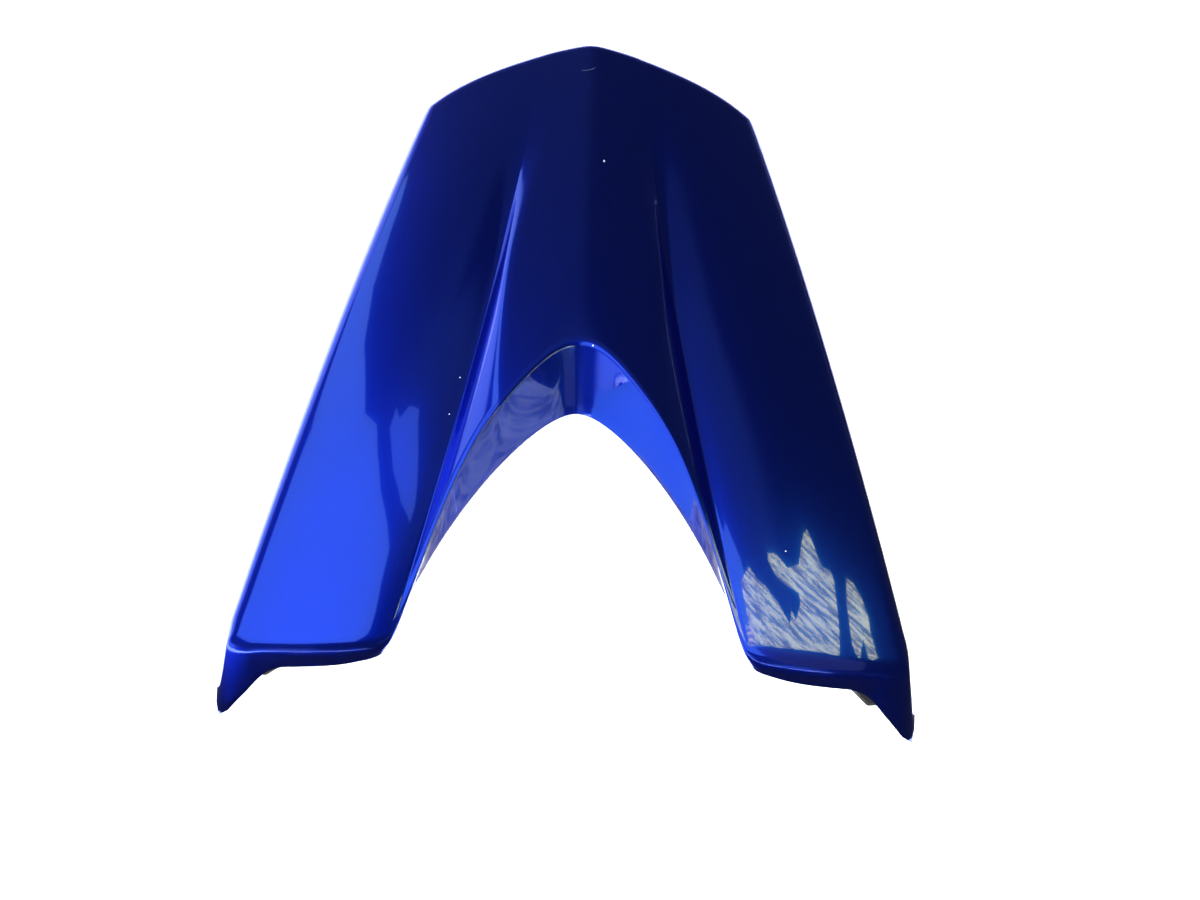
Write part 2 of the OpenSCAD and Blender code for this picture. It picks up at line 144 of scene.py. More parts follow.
REAR_IN = span(RIDGE[0], (8, -1.5, -0.6), FLANK_TOP[0], (-7, 2.4, 0.8))
REAR_OUT = span(CREASE[0], (17, -6.5, -1.8), SHOULDER[0], (-14, 13, 2.5))
CUT_IN = span(RIDGE[3], (13, 0, 0), FLANK_TOP[3], (-10, 13, 2.5))
CUT_OUT = span(FLANK_TOP[3], (17, -20, -8), CREASE[3], (-10.5, 38, 6))
FRONT = span(CREASE[3], (16, -3.4, 4), SHOULDER[3], (-21, -4, 2.5))
LOW_IN = [
    (0, -CUT_LOW_Y, CUT_LOW_H),
    (14, -CUT_LOW_Y, CUT_LOW_H),
    (0.53 * CREASE_X, -CUT_LOW_Y - 31, CUT_LOW_H - 2),
    (0.755 * CREASE_X, -0.67 * ARM_L, CUT_LOW_H - 6),
]
LOW_OUT = [
    LOW_IN[3],
    (0.89 * CREASE_X, -0.8 * ARM_L, CUT_LOW_H - 8.5),
    (0.95 * CREASE_X, -0.9 * ARM_L, LIP_H + 0.5),
    (CREASE_X + 5, -ARM_L - 6.5, LIP_H),
]

longest = max(math.dist(line[0], line[3]) for line in (RIDGE, FLANK_TOP, CREASE, SHOULDER))
print("longest feature line, end to end:", round(longest, 1), "mm")

# %% [markdown]
# ## The top as three strips
# Between the lines lie three strips on each half: the roof of the spine, its flank and the
# wide side panel. A strip is a surface with two numbers, s from the rear to the front and t
# outward, and it blends its two border lines. It is worked out for all places at once,
# which is quick and leaves no seams between hand-made patches.

# %% Strips of the top
def roof(s, t):
    s, t = s[..., None], t[..., None]
    return (
        mix(curve(RIDGE, s[..., 0]), curve(FLANK_TOP, s[..., 0]), t)
        + (1 - s) * bow(REAR_IN, t[..., 0])
        + s**3 * bow(CUT_IN, t[..., 0])
        + np.array([0, 0, 1.6]) * t * (1 - t)
    )


def flank(s, t):
    a, b, d = curve(FLANK_TOP, s), curve(CREASE, s), bow(CUT_OUT, t)
    x = mix(a[..., 0], b[..., 0], t) + s * s * d[..., 0]
    y = mix(a[..., 1], b[..., 1], t) + s * s * d[..., 1]
    z = mix(a[..., 2], b[..., 2], 1.28 * t - 0.28 * t**4)
    return np.stack([x, y, z], -1)


def panel(s, t):
    swell = PANEL_CROWN * (0.25 + 0.75 * np.sin(np.radians(18 + 162 * s)))
    lift = swell * t * (1 - t) * (5.5 - 3.7 * t)
    s, t = s[..., None], t[..., None]
    return (
        mix(curve(CREASE, s[..., 0]), curve(SHOULDER, s[..., 0]), t)
        + (1 - s) * bow(REAR_OUT, t[..., 0])
        + s * bow(FRONT, t[..., 0])
        + lift[..., None] * np.array([0, 0, 1.0])
    )


def ease(t, k):
    """Closer steps near both ends, where the form turns faster."""
    return (1 - k) * t + k * (1 - np.cos(np.pi * t)) / 2


# %% [markdown]
# The solids have a coarse net of cells. Here each cell is cut into four each way, at the
# same places, so the fine surface lies on the coarse one.

# %% A fine net over one half of the top
FINE = 4
ROOF_N, FLANK_N, PANEL_N, ROW_N = (FINE * n for n in (6, 8, 10, 26))
HALF_N = ROOF_N + FLANK_N + PANEL_N
WIDE_N = 2 * HALF_N
CREASE_J = ROOF_N + FLANK_N

rows = ease(np.arange(ROW_N + 1) / ROW_N, 0.5)[:, None]
half_top = np.concatenate(
    [
        roof(*np.broadcast_arrays(rows, np.arange(ROOF_N)[None] / ROOF_N)),
        flank(*np.broadcast_arrays(rows, np.arange(FLANK_N)[None] / FLANK_N)),
        panel(*np.broadcast_arrays(rows, ease(np.arange(PANEL_N + 1)[None] / PANEL_N, 0.6))),
    ],
    1,
)
print("net of one half:", half_top.shape[:2])

# %% [markdown]
# The three strips would meet in sharp lines all the way. On the real moulding the crease
# starts from nothing near the rear point and sharpens towards the seat. So each row's
# height is parted into a plain crown and what stands off it, and the second part is
# smoothed across by a bell curve that is wide at the rear and narrow at the front, and
# faded out at the rear edge.

# %% Softening the crease towards the rear
SOFT_REAR, SOFT_FRONT, CREASE_START = 7.0, 1.0, 0.3


def settle(t):
    """A soft step from 0 to 1."""
    t = np.clip(t, 0, 1)
    return t * t * (3 - 2 * t)


def soft_row(row, s):
    x, z = row[:, 0], row[:, 2]
    f = x / x[-1]
    crown = mix(z[0], z[-1], 0.55 * f + 0.45 * f**3)
    width = mix(SOFT_REAR, SOFT_FRONT, settle(s / 0.6))
    share = np.gradient(x)
    share[[0, -1]] /= 2

    def bell(distance):
        return share * np.exp(-0.5 * (distance / width) ** 2)

    here, there = x[:, None], x[None]
    own, mirrored, beyond = bell(here - there), bell(here + there), bell(2 * x[-1] - here - there)
    stands_off = (own + mirrored - beyond) @ (z - crown) / (own + mirrored + beyond).sum(1)
    soft = row.copy()
    soft[:, 2] = crown + settle(s / CREASE_START) * stands_off
    return soft


half_top = np.array([soft_row(row, s) for row, s in zip(half_top, rows[:, 0])])
top = np.concatenate([(half_top * [-1, 1, 1])[:, :0:-1], half_top], 1)


def soften(net, column, width, passes):
    """Rounds the net a little across one lengthwise line and its mirror image."""
    j = np.abs(np.arange(WIDE_N + 1) - HALF_N)
    weight = 0.5 * np.exp(-(((j - column) / width) ** 2))[None, 1:-1, None]
    for _ in range(passes):
        middle = (net[:, :-2] + net[:, 2:]) / 2
        net[:, 1:-1] += weight * (middle - net[:, 1:-1])
    return net


top = soften(top, 0, 4, 14)
top = soften(top, ROOF_N, 3, 8)
top = soften(top, CREASE_J, 2.2, 5)
top[..., 2] = np.minimum(top[..., 2], RIDGE_H)
print("top net:", top.shape[:2])

# %% [markdown]
# ## Rounded edges and walls
# Round the top's border the surface rolls over into a wall: skirts at the sides and the
# rear, the arch wall towards the seat, and a short front at each arm. The border is one
# closed loop. At each place on it a virtual corner is set outward along the surface's own
# slope, and the rounding is a curve pulled towards that corner, so light runs over the
# edge without a break.

# %% The border loop
LOOP_N = 2 * (WIDE_N + ROW_N)
steps = (
    [(0, j) for j in range(WIDE_N)]
    + [(i, WIDE_N) for i in range(ROW_N)]
    + [(ROW_N, j) for j in range(WIDE_N, 0, -1)]
    + [(i, 0) for i in range(ROW_N, 0, -1)]
)
loop_i, loop_j = np.array(steps).T
edge = top[loop_i, loop_j]
inside = top[np.clip(loop_i, 1, ROW_N - 1), np.clip(loop_j, 1, WIDE_N - 1)]


def spread(values):
    """Smoothly fills in the places between the coarse ones round the loop."""
    before, here, after_1, after_2 = (np.roll(values, -m, 0) for m in (-1, 0, 1, 2))
    t = (np.arange(FINE) / FINE).reshape(1, FINE, 1)
    a, b, c, d = (v[:, None] for v in (before, here, after_1, after_2))
    fine = b + 0.5 * t * (c - a + t * (2 * a - 5 * b + 4 * c - d + t * (3 * (b - c) + d - a)))
    return fine.reshape(-1, values.shape[1])


def blur(values, passes=1):
    for _ in range(passes):
        values = (np.roll(values, 1, 0) + 2 * values + np.roll(values, -1, 0)) / 4
    return values


print("border loop:", LOOP_N, "places")

# %% [markdown]
# The solids work out the rounding at each place of their coarse loop. The same is done
# here, at every fourth place, and the values in between are filled in by a smooth curve,
# so the fine walls pass through the solids' own corners.

# %% Corners outside the border
rim_i, rim_j = loop_i[::FINE], loop_j[::FINE]
column = np.abs(rim_j - HALF_N)
at_rear, at_front = rim_i == 0, rim_i == ROW_N
at_cut = at_front & (column <= CREASE_J)
at_side = ~at_rear & ~at_front

knots = edge[::FINE]
inner_knots = top[np.clip(rim_i, FINE, ROW_N - FINE), np.clip(rim_j, FINE, WIDE_N - FINE)]
along = np.roll(knots, -1, 0) - knots
plan = np.stack([-along[:, 1], along[:, 0]], -1)
plan /= np.linalg.norm(plan, axis=1)[:, None]
last = np.roll(plan, 1, 0)
mitre = (last + plan) / (1 + (last * plan).sum(1))[:, None]
outward = blur(mitre)

face = np.cross(np.roll(knots, -1, 0) - np.roll(knots, 1, 0), knots - inner_knots)
unit_mitre = mitre / np.linalg.norm(mitre, axis=1)[:, None]
slope = -(face[:, :2] * unit_mitre).sum(1) / face[:, 2]
slope = blur(np.clip(slope, -0.9, 0.5)[:, None], 2)
set_back = np.select([at_rear, at_side, at_cut], [EDGE_REAR, EDGE_SIDE, EDGE_CUT], EDGE_FRONT)
set_back = blur(set_back[:, None], 2)
step_out = set_back / np.sqrt(1 + slope**2) * np.concatenate([outward, slope], 1)
corner_knots = knots + step_out
corner = edge + spread(step_out)
print("corners worked out:", len(corner_knots), "and filled in to", len(corner))

# %% [markdown]
# The lower edge of the walls lies on the floor along the sides, rises at the rear for the
# tail lamp, and rises at the arm fronts to a lip, with a short toe at each outer corner.
# Round the arch it follows its own pair of curves.

# %% The lower edge
TIP_K = (WIDE_N + ROW_N) // FINE
tip = corner_knots[TIP_K]
rear_tip_x = corner_knots[WIDE_N // FINE, 0]
far_x = np.abs(corner_knots[:, 0])
beside = np.sign(corner_knots[:, 0])
toe = np.where(
    at_front & (column > CREASE_J),
    np.clip((far_x / tip[0] - 0.86) / 0.14, 0, 1) ** 2,
    np.where(at_side, np.exp((tip[1] - corner_knots[:, 1]) / 8), 0.0),
)
low_z = np.select(
    [at_rear, at_side],
    [TAIL_RISE * (1 - np.minimum(1, far_x / rear_tip_x) ** 2) ** 2, 0],
    LIP_H * (1 - np.clip((far_x / tip[0] - 0.78) / 0.22, 0, 1) ** 3),
)
flare = np.where(at_rear, FLARE * (0.35 + 0.65 * np.minimum(1, far_x / rear_tip_x)), FLARE)
drop = (corner_knots[:, 2] - low_z) * flare
skirt = np.stack(
    [
        corner_knots[:, 0] + drop * outward[:, 0] - beside * TOE_IN * TOE_L * toe,
        corner_knots[:, 1] + drop * outward[:, 1] - TOE_L * toe,
        low_z,
    ],
    -1,
)
t = np.minimum(1, column / CREASE_J)
arch = np.where(
    (t < 0.7)[:, None], curve(LOW_IN, np.minimum(1, t / 0.7)), curve(LOW_OUT, (t - 0.7) / 0.3)
)
arch[:, 0] *= np.sign(rim_j - HALF_N)
low_knots = np.where(at_cut[:, None], arch, skirt)
soft = at_front & (np.abs(column - CREASE_J) < 4 * FINE)
low_knots = np.where(soft[:, None], blur(low_knots, 2), low_knots)
low = np.clip(spread(low_knots), low_knots.min(0), low_knots.max(0))
set_back = spread(set_back)[:, 0]
print("lower edge, height from and to:", low[:, 2].min().round(2), low[:, 2].max().round(2))

# %% [markdown]
# ## From nets to one closed moulding
# The outside is the top net, a rounding of ten rings and a wall of six. The inside is the
# same net moved in by the wall's thickness along the surface's own direction, so the
# moulding is as thick everywhere as a real one. A small rounded rim joins the two along
# the lower edge.

# %% Rings of the walls
ROUND_N, WALL_N = 10, 6
fall = low - corner
foot = corner + fall * np.minimum(0.6, set_back / np.linalg.norm(fall, axis=1))[:, None]
rings = [edge]
for r in range(1, ROUND_N + 1):
    t = r / ROUND_N
    rings.append((1 - t) ** 2 * edge + 2 * (1 - t) * t * corner + t * t * foot)
for r in range(1, WALL_N + 1):
    rings.append(mix(foot, low, r / WALL_N))
rings = np.array(rings)


def normals(net, wrap):
    """Directions away from a net, from its neighbours along and across."""
    a = np.gradient(net, axis=0)
    b = np.roll(net, -1, 1) - np.roll(net, 1, 1) if wrap else np.gradient(net, axis=1)
    n = np.cross(b, a) if wrap else np.cross(a, b)
    return n / np.maximum(1e-9, np.linalg.norm(n, axis=-1))[..., None]


top_n = normals(top, False)
ring_n = normals(np.concatenate([inside[None], rings]), True)[1:]
print("top faces up:", bool(top_n[ROW_N // 2, HALF_N, 2] > 0))
print("side wall faces out:", bool(ring_n[-1, WIDE_N + ROW_N // 2, 0] > 0))

# %% The inside and the rim
RIM = 0.6


def toward(a, b, by):
    d = b - a
    return a + by * d / np.linalg.norm(d, axis=-1)[..., None]


lining_top = top - WALL * top_n
lining = rings - WALL * ring_n
lining[-1, :, 2] = rings[-1, :, 2]
lining[:-1, :, 2] = np.maximum(lining[:-1, :, 2], lining[-1, :, 2] + 0.7)

outer_lip, inner_lip = rings[-1].copy(), lining[-1].copy()
rings[-1] = toward(outer_lip, rings[-2], RIM)
lining[-1] = toward(inner_lip, lining[-2], RIM)
flat_out, flat_in = toward(outer_lip, inner_lip, RIM), toward(inner_lip, outer_lip, RIM)
rim = [
    0.25 * rings[-1] + 0.5 * outer_lip + 0.25 * flat_out,
    flat_out,
    flat_in,
    0.25 * lining[-1] + 0.5 * inner_lip + 0.25 * flat_in,
]
gap = np.linalg.norm(outer_lip - inner_lip, axis=1)
print("wall at the lower edge:", gap.min().round(2), "to", gap.max().round(2), "mm")

# %% [markdown]
# The top and the walls share their points along the border loop, so each point is numbered
# once: the top first, then the rings below it, the same again for the inside, and the rim.

# %% One mesh from all the nets
FAR_IN = 99.0
top_id = np.full(top.shape[:2], -1)
top_id[loop_i, loop_j] = np.arange(LOOP_N)
free = top_id < 0
top_id[free] = LOOP_N + np.arange(free.sum())
FACE_N = LOOP_N + int(free.sum())
RING_ROWS = ROUND_N + WALL_N
SKIN_N = FACE_N + RING_ROWS * LOOP_N


def ring_ids(first, count, base):
    """Point numbers of the border and of the rings below it."""
    return np.concatenate([first[None], base + np.arange(count * LOOP_N).reshape(count, LOOP_N)])


def quads(net, closed):
    """Four-point faces over a net of point numbers."""
    across = np.roll(net, -1, 1) if closed else net[:, 1:]
    here = net if closed else net[:, :-1]
    return np.stack([here[:-1], across[:-1], across[1:], here[1:]], -1).reshape(-1, 4)


def skin_points(net, ring_net):
    return np.concatenate([ring_net[0], net[free], ring_net[1:].reshape(-1, 3)])


wall_ids = ring_ids(np.arange(LOOP_N), RING_ROWS, FACE_N)
outside = np.concatenate([quads(top_id, False)[:, ::-1], quads(wall_ids, True)])
rim_ids = np.concatenate(
    [
        wall_ids[-1:],
        2 * SKIN_N + np.arange(len(rim) * LOOP_N).reshape(-1, LOOP_N),
        wall_ids[-1:] + SKIN_N,
    ]
)
shell_points = np.concatenate(
    [skin_points(top, rings), skin_points(lining_top, lining), np.concatenate(rim)]
)
shell_faces = np.concatenate([outside, outside[:, ::-1] + SKIN_N, quads(rim_ids, True)])
bare = np.repeat([0, 1, 0], [len(outside), len(outside), (len(rim) + 1) * LOOP_N])
to_rim = np.zeros(len(shell_points))
to_rim[SKIN_N : SKIN_N + FACE_N] = FAR_IN
lengths = np.linalg.norm(np.diff(lining[::-1], axis=0), axis=-1).cumsum(0)[::-1]
to_rim[SKIN_N : SKIN_N + LOOP_N] = lengths[0]
to_rim[SKIN_N + FACE_N : 2 * SKIN_N - LOOP_N] = lengths[1:].reshape(-1)
print("shell:", len(shell_points), "points,", len(shell_faces), "faces")


# %% [markdown]
# ## Mesh objects in the solids' frame
# Every finished piece keeps its object at the origin, with its place in its mesh, so that
# a pattern read from object coordinates stays put on the mesh.

# %% From points to an object
def piece(name, points, faces, *finishes):
    """A mesh object from points in design millimetres."""
    points = (np.asarray(points, float) - [0, DATUM_Y, 0]) * MM
    mesh = bpy.data.meshes.new(name)
    mesh.from_pydata(points.tolist(), [], [[int(i) for i in f] for f in faces])
    mesh.polygons.foreach_set("use_smooth", [True] * len(mesh.polygons))
    for finish in finishes:
        mesh.materials.append(finish)
    obj = bpy.data.objects.new(name, mesh)
    bpy.context.collection.objects.link(obj)
    return obj


# %% [markdown]
# ## A small language for nodes
# Shader and geometry trees are graphs. One class wraps a socket, so that arithmetic on it
# adds Math nodes, and one method adds any other node: its kind, its settings, then the
# values or links of its sockets. The rest of the file can then read like formulas.

# %% Sockets and graphs
class Wire:
    """A socket that can be added, subtracted and multiplied."""

    def __init__(self, graph, socket):
        self.graph, self.socket = graph, socket

    def math(self, operation, *others):
        return self.graph.node("ShaderNodeMath", {"operation": operation}, self, *others)

    def __add__(self, other):
        return self.math("ADD", other)

    def __sub__(self, other):
        return self.math("SUBTRACT", other)

    def __mul__(self, other):
        return self.math("MULTIPLY", other)

    def __rsub__(self, other):
        return self.graph.node("ShaderNodeMath", {"operation": "SUBTRACT"}, other, self)

    __radd__, __rmul__ = __add__, __mul__

    def out(self, name):
        """Another output of the node that this socket belongs to."""
        return Wire(self.graph, self.socket.node.outputs[name])


class Graph:
    """A node tree and the one way to add to it."""

    def __init__(self, tree):
        self.tree = tree

    def node(self, kind, settings=None, *values, **named):
        made = self.tree.nodes.new(kind)
        for name, value in (settings or {}).items():
            setattr(made, name, value)
        given = list(zip(made.inputs, values))
        given += [(self.socket_of(made, name), value) for name, value in named.items()]
        for socket, value in given:
            if isinstance(value, Wire):
                self.tree.links.new(value.socket, socket)
            elif value is not None:
                socket.default_value = value
        first = next((s for s in made.outputs if s.enabled), None)
        return Wire(self, first) if first else made

    @staticmethod
    def socket_of(made, name):
        """An input by its name, with _ for a space; only sockets in use are looked at."""
        return next(s for s in made.inputs if s.enabled and s.name.replace(" ", "_") == name)

    def vector(self, operation, *values, **named):
        return self.node("ShaderNodeVectorMath", {"operation": operation}, *values, **named)

    def bump(self, strength, distance, height):
        """Surface directions from a height pattern."""
        return self.node(
            "ShaderNodeBump", None, Strength=strength, Distance=distance, Height=height
        )

    def blend(self, factor, a, b):
        """Mixes two colours."""
        return self.node("ShaderNodeMix", {"data_type": "RGBA"}, Factor=factor, A=a, B=b)

    def smooth(self, value, low, high, start=0.0, end=1.0):
        """Runs softly from start to end while the value goes from low to high."""
        settings = {"interpolation_type": "SMOOTHSTEP"}
        return self.node("ShaderNodeMapRange", settings, value, low, high, start, end)


class Finish(Graph):
    """A material, with its patterns in millimetres of the object's own space."""

    def __init__(self, name):
        self.material = bpy.data.materials.new(name)
        self.material.use_nodes = True
        super().__init__(self.material.node_tree)
        self.tree.nodes.clear()
        place = self.node("ShaderNodeTexCoord").out("Object")
        self.place = self.vector("SCALE", Vector=place, Scale=1 / MM)

    def noise(self, size, detail, roughness=0.5, stretch=None):
        """Cloudy noise with features of about this many millimetres."""
        place = self.vector("MULTIPLY", self.place, stretch) if stretch else self.place
        return self.node(
            "ShaderNodeTexNoise", None,
            Vector=place, Scale=1 / size, Detail=detail, Roughness=roughness,
        )

    def cells(self, size):
        """Small cells of about this many millimetres; the colour differs from cell to cell."""
        return self.node("ShaderNodeTexVoronoi", None, Vector=self.place, Scale=1 / size)

    def distance(self, point):
        """How far away a point of the design is, in millimetres."""
        centre = (point[0], point[1] - DATUM_Y, point[2])
        return self.vector("DISTANCE", self.place, centre).out("Value")

    def near(self, point, radius):
        """1 at a point of the design, 0 beyond the radius."""
        return self.smooth(self.distance(point), radius, 0.6 * radius)

    def principled(self, **sockets):
        return self.node("ShaderNodeBsdfPrincipled", None, **sockets)

    def mixed(self, share, shader, other):
        """Two shaders mixed, the second by the share."""
        return self.node("ShaderNodeMixShader", None, share, shader, other)

    def close(self, shader):
        """Ends the tree in a shader and gives the finished material."""
        self.node("ShaderNodeOutputMaterial", None, Surface=shader)
        print("finish:", self.material.name, "with", len(self.tree.nodes), "nodes")
        return self.material


# %% [markdown]
# ## Candy paint
# Candy paint is a clear blue over fine metal flakes, under a hard clear lacquer. So it has
# three glosses: a wide one from flakes that lie at all angles, a narrow blue one from the
# flakes that lie flat, and a sharp white one from the lacquer. Two Principled shaders are
# mixed for the flakes, both with the same coat on top. The flakes are tiny cells that tilt
# the metal a little and differ in brightness.

# %% The paint
paint = Finish("candy_blue_paint")
cloud = paint.noise(22, 2.0)
flake_tone = paint.node("ShaderNodeSeparateColor", None, paint.cells(0.35).out("Color"))
tone = 0.92 + 0.10 * cloud + 0.12 * (flake_tone - 0.5)
tilt = paint.bump(0.10, 0.00008, flake_tone)


def flakes(colour, roughness, normal=None):
    """Metal flakes of one kind under the lacquer."""
    return paint.principled(
        Base_Color=paint.vector("SCALE", Vector=colour, Scale=tone),
        Metallic=1.0,
        Roughness=roughness,
        Normal=normal,
        Coat_Weight=1.0,
        Coat_Roughness=0.03,
        Coat_IOR=1.52,
    )


scattered = flakes((0.002, 0.022, 0.80), 0.40, tilt)
lying_flat = flakes((0.008, 0.110, 0.95), 0.12)
candy = paint.mixed(0.28, scattered, lying_flat)

# %% [markdown]
# The photograph shows a little wear, and it stays: a few tiny chips, where the pale primer
# looks through, and one faint curved scratch by the rear point. A chip is the ball round a
# point of the surface, and the scratch is part of a thin ring round a point beside it.

# %% Chips and a scratch
chips = [
    ((8.1, 104.4, 62.7), 0.50), ((8.1, 103.8, 62.7), 0.50), ((5.7, -8.6, 68.6), 0.45),
    ((-54.1, -17.1, 51.0), 0.38), ((-57.6, -36.0, 49.6), 0.38), ((92.0, -97.1, 48.0), 0.38),
]
kept = 1.0
for point, radius in chips:
    kept = kept * (1 - paint.near(point, radius))
SCRATCH_R, SCRATCH_W = 7.60, 0.15
reach = paint.distance((-3.4, 176.3, 57.3))
ring = paint.smooth(reach, SCRATCH_R - SCRATCH_W, SCRATCH_R)
ring = ring * paint.smooth(reach, SCRATCH_R + SCRATCH_W, SCRATCH_R)
scratch = ring * paint.near((-1.1, 169.3, 57.3), 4.4)
kept = kept * (1 - 0.35 * scratch)
primer = paint.principled(Base_Color=(0.30, 0.34, 0.46, 1), Roughness=0.5)
candy_blue = paint.close(paint.mixed(1 - kept, candy, primer))

# %% [markdown]
# ## Bare inside
# The inside was never meant to be seen. It is black moulded plastic with a fine spark
# grain, and a mist of blue reached in over the lower edge when the outside was sprayed.

# %% The moulded inside
bare_side = Finish("moulded_black_inside")
grain = bare_side.noise(0.7, 3.0)
haze = bare_side.noise(6, 3.0)
from_rim = bare_side.node("ShaderNodeAttribute", {"attribute_name": "to_rim"}).out("Fac")
mist = bare_side.smooth(from_rim + 5.0 * haze, 11.0, 2.5)
black_plastic = bare_side.close(
    bare_side.principled(
        Base_Color=bare_side.blend(mist, (0.014, 0.014, 0.015, 1), (0.004, 0.010, 0.11, 1)),
        Roughness=0.42 + 0.12 * haze,
        Normal=bare_side.bump(0.25, 0.0001, grain),
    )
)

# %% [markdown]
# Foam rubber is black, quite matt and full of open cells. Its colour is painted shade and dust
# together: darker in the pores and lighter on the raised rims, following the cell pattern, and the
# dust noise scales how much lighter the rims get.

# %% The foam
foam = Finish("black_foam_rubber")
cells = foam.cells(0.55)
dust = foam.noise(2.5, 3.0)
# Painted shade: the colour is darker in the pits of the cell pattern and lighter on its raised
# rims, scaled by the dust noise.
pore_shade_and_dust = foam.smooth(cells, 0.15, 0.6) * (0.35 + 0.5 * dust)
foam_black = foam.close(
    foam.principled(
        Base_Color=foam.blend(pore_shade_and_dust, (0.004, 0.004, 0.004, 1), (0.022, 0.021, 0.021, 1)),
        Roughness=0.88 + 0.08 * dust,
        Normal=foam.bump(0.8, 0.0003, cells),
    )
)

# %% [markdown]
# The skin gets both finishes, and the inside also carries its distance from the rim, which
# the mist of paint reads.

# %% The skin as an object
shell = piece("cowl_moulding", shell_points, shell_faces, candy_blue, black_plastic)
shell.data.polygons.foreach_set("material_index", bare.astype(np.int32))
depth_in = shell.data.attributes.new("to_rim", "FLOAT", "POINT")
depth_in.data.foreach_set("value", to_rim.astype(np.float32))
print("skin:", len(shell.data.polygons), "faces,", int(bare.sum()), "of them bare inside")

# %% [markdown]
# ## Ribs, bosses and tabs
# A thin moulding is stiffened by ribs on its inside and screwed down through hollow posts,
# called bosses, and through flat tabs with a hole. All of them repeat or follow a line, so
# each kind is a Geometry Nodes tree with its sizes as named inputs. A tree works on a small
# guide mesh, is turned into a plain mesh at once, and the modifier is taken off again.

# %% Growing a piece from a guide
def size_tree(name, *sizes):
    """A Geometry Nodes tree with a guide, named sizes and a finish as its inputs."""
    tree = bpy.data.node_groups.new(name, "GeometryNodeTree")
    tree.interface.new_socket("Guide", in_out="INPUT", socket_type="NodeSocketGeometry")
    for label in sizes:
        tree.interface.new_socket(label, in_out="INPUT", socket_type="NodeSocketFloat")
    tree.interface.new_socket("Finish", in_out="INPUT", socket_type="NodeSocketMaterial")
    tree.interface.new_socket("Piece", in_out="OUTPUT", socket_type="NodeSocketGeometry")
    graph = Graph(tree)
    return graph, graph.node("NodeGroupInput")


def finish_tree(graph, guide, shape):
    """The last steps of every tree: real meshes and their finish."""
    solid = graph.node("GeometryNodeRealizeInstances", None, shape)
    dressed = graph.node(
        "GeometryNodeSetMaterial", None, Geometry=solid, Material=guide.out("Finish")
    )
    graph.node("NodeGroupOutput", None, dressed)


def evaluated(obj):
    """The object's mesh as its modifiers leave it."""
    bpy.context.view_layer.update()
    seen = obj.evaluated_get(bpy.context.evaluated_depsgraph_get())
    return bpy.data.meshes.new_from_object(seen)


def grow(name, graph, points, edges, finish, values=None, **sizes):
    """Runs a tree over guide points in design millimetres and keeps the plain mesh."""
    made = piece(name, points, [])
    made.data.edges.add(len(edges))
    made.data.edges.foreach_set("vertices", np.array(edges, np.int32).reshape(-1))
    for label, value in (values or {}).items():
        layer = made.data.attributes.new(label, "FLOAT", "POINT")
        layer.data.foreach_set("value", np.asarray(value, np.float32))
    nodes = made.modifiers.new("sizes", "NODES")
    nodes.node_group = graph.tree
    items = graph.tree.interface.items_tree
    inputs = {item.name: item.identifier for item in items if item.in_out == "INPUT"}
    nodes[inputs["Finish"]] = finish
    for label, value in sizes.items():
        nodes[inputs[label.replace("_", " ")]] = value * MM
    grown = evaluated(made)
    made.modifiers.remove(nodes)
    made.data = grown
    print(name, len(grown.polygons), "faces")
    return made


# %% [markdown]
# A rib hangs from the middle of the wall and is deepest in the middle of its run. The tree
# sweeps a thin bar along the guide and then lets the bar's lower points down by the depth
# that each guide point carries.

# %% The tree of a rib
rib_graph, guide = size_tree("ribs", "Thickness", "Bar")
position = rib_graph.node("GeometryNodeInputPosition")
height_of = rib_graph.node("ShaderNodeSeparateXYZ", None, position)
rail = rib_graph.node("GeometryNodeMeshToCurve", None, guide)
rail = rib_graph.node(
    "GeometryNodeStoreNamedAttribute", {"data_type": "FLOAT", "domain": "POINT"},
    Geometry=rail, Name="line_z", Value=height_of.out("Z"),
)
rail = rib_graph.node("GeometryNodeSetCurveNormal", {"mode": "Z_UP"}, rail)
bar = rib_graph.node(
    "GeometryNodeCurvePrimitiveQuadrilateral", None,
    Width=guide.out("Thickness"), Height=guide.out("Bar"),
)
swept = rib_graph.node(
    "GeometryNodeCurveToMesh", None, Curve=rail, Profile_Curve=bar, Fill_Caps=True
)


def named(graph, label):
    return graph.node("GeometryNodeInputNamedAttribute", {"data_type": "FLOAT"}, Name=label)


lower = height_of.out("Z").math("LESS_THAN", named(rib_graph, "line_z"))
let_down = rib_graph.node("ShaderNodeCombineXYZ", None, Z=lower * named(rib_graph, "depth") * -1.0)
hung = rib_graph.node("GeometryNodeSetPosition", None, Geometry=swept, Offset=let_down)
finish_tree(rib_graph, guide, hung)

# %% [markdown]
# Four ribs run across each side panel and one across the roof of the spine, each along a row
# of the top net.

# %% Ribs under the top
rib_points, rib_edges, rib_depths = [], [], []
outside_crease = (FINE * (CREASE_J // FINE + 1), HALF_N - FINE)
for row, sides in [(6, (-1, 1)), (11, (-1, 1)), (16, (-1, 1)), (20, (-1, 1)), (11, (0,))]:
    for side in sides:
        near_j, far_j = outside_crease if side else (-ROOF_N, ROOF_N)
        js = np.arange(near_j, far_j + 1, 2)
        i, j = row * FINE, HALF_N + (js * side if side else js)
        along = np.sin(np.pi * np.arange(len(js)) / (len(js) - 1))
        first = len(rib_points)
        rib_points += list(top[i, j] - WALL / 2 * top_n[i, j])
        rib_edges += [(first + m, first + m + 1) for m in range(len(js) - 1)]
        rib_depths += list((WALL / 2 + RIB_H * np.sqrt(np.clip(along, 0, 1))) * MM)
ribs = grow(
    "ribs", rib_graph, rib_points, rib_edges, black_plastic, {"depth": rib_depths},
    Thickness=RIB_T, Bar=0.6,
)

# %% [markdown]
# A boss is a post with a blind bore that a self-tapping screw cuts its thread into. The
# tree sets a post on each guide point, as tall as the point says, and cuts the bores out,
# each with a small countersink that leads the screw in.

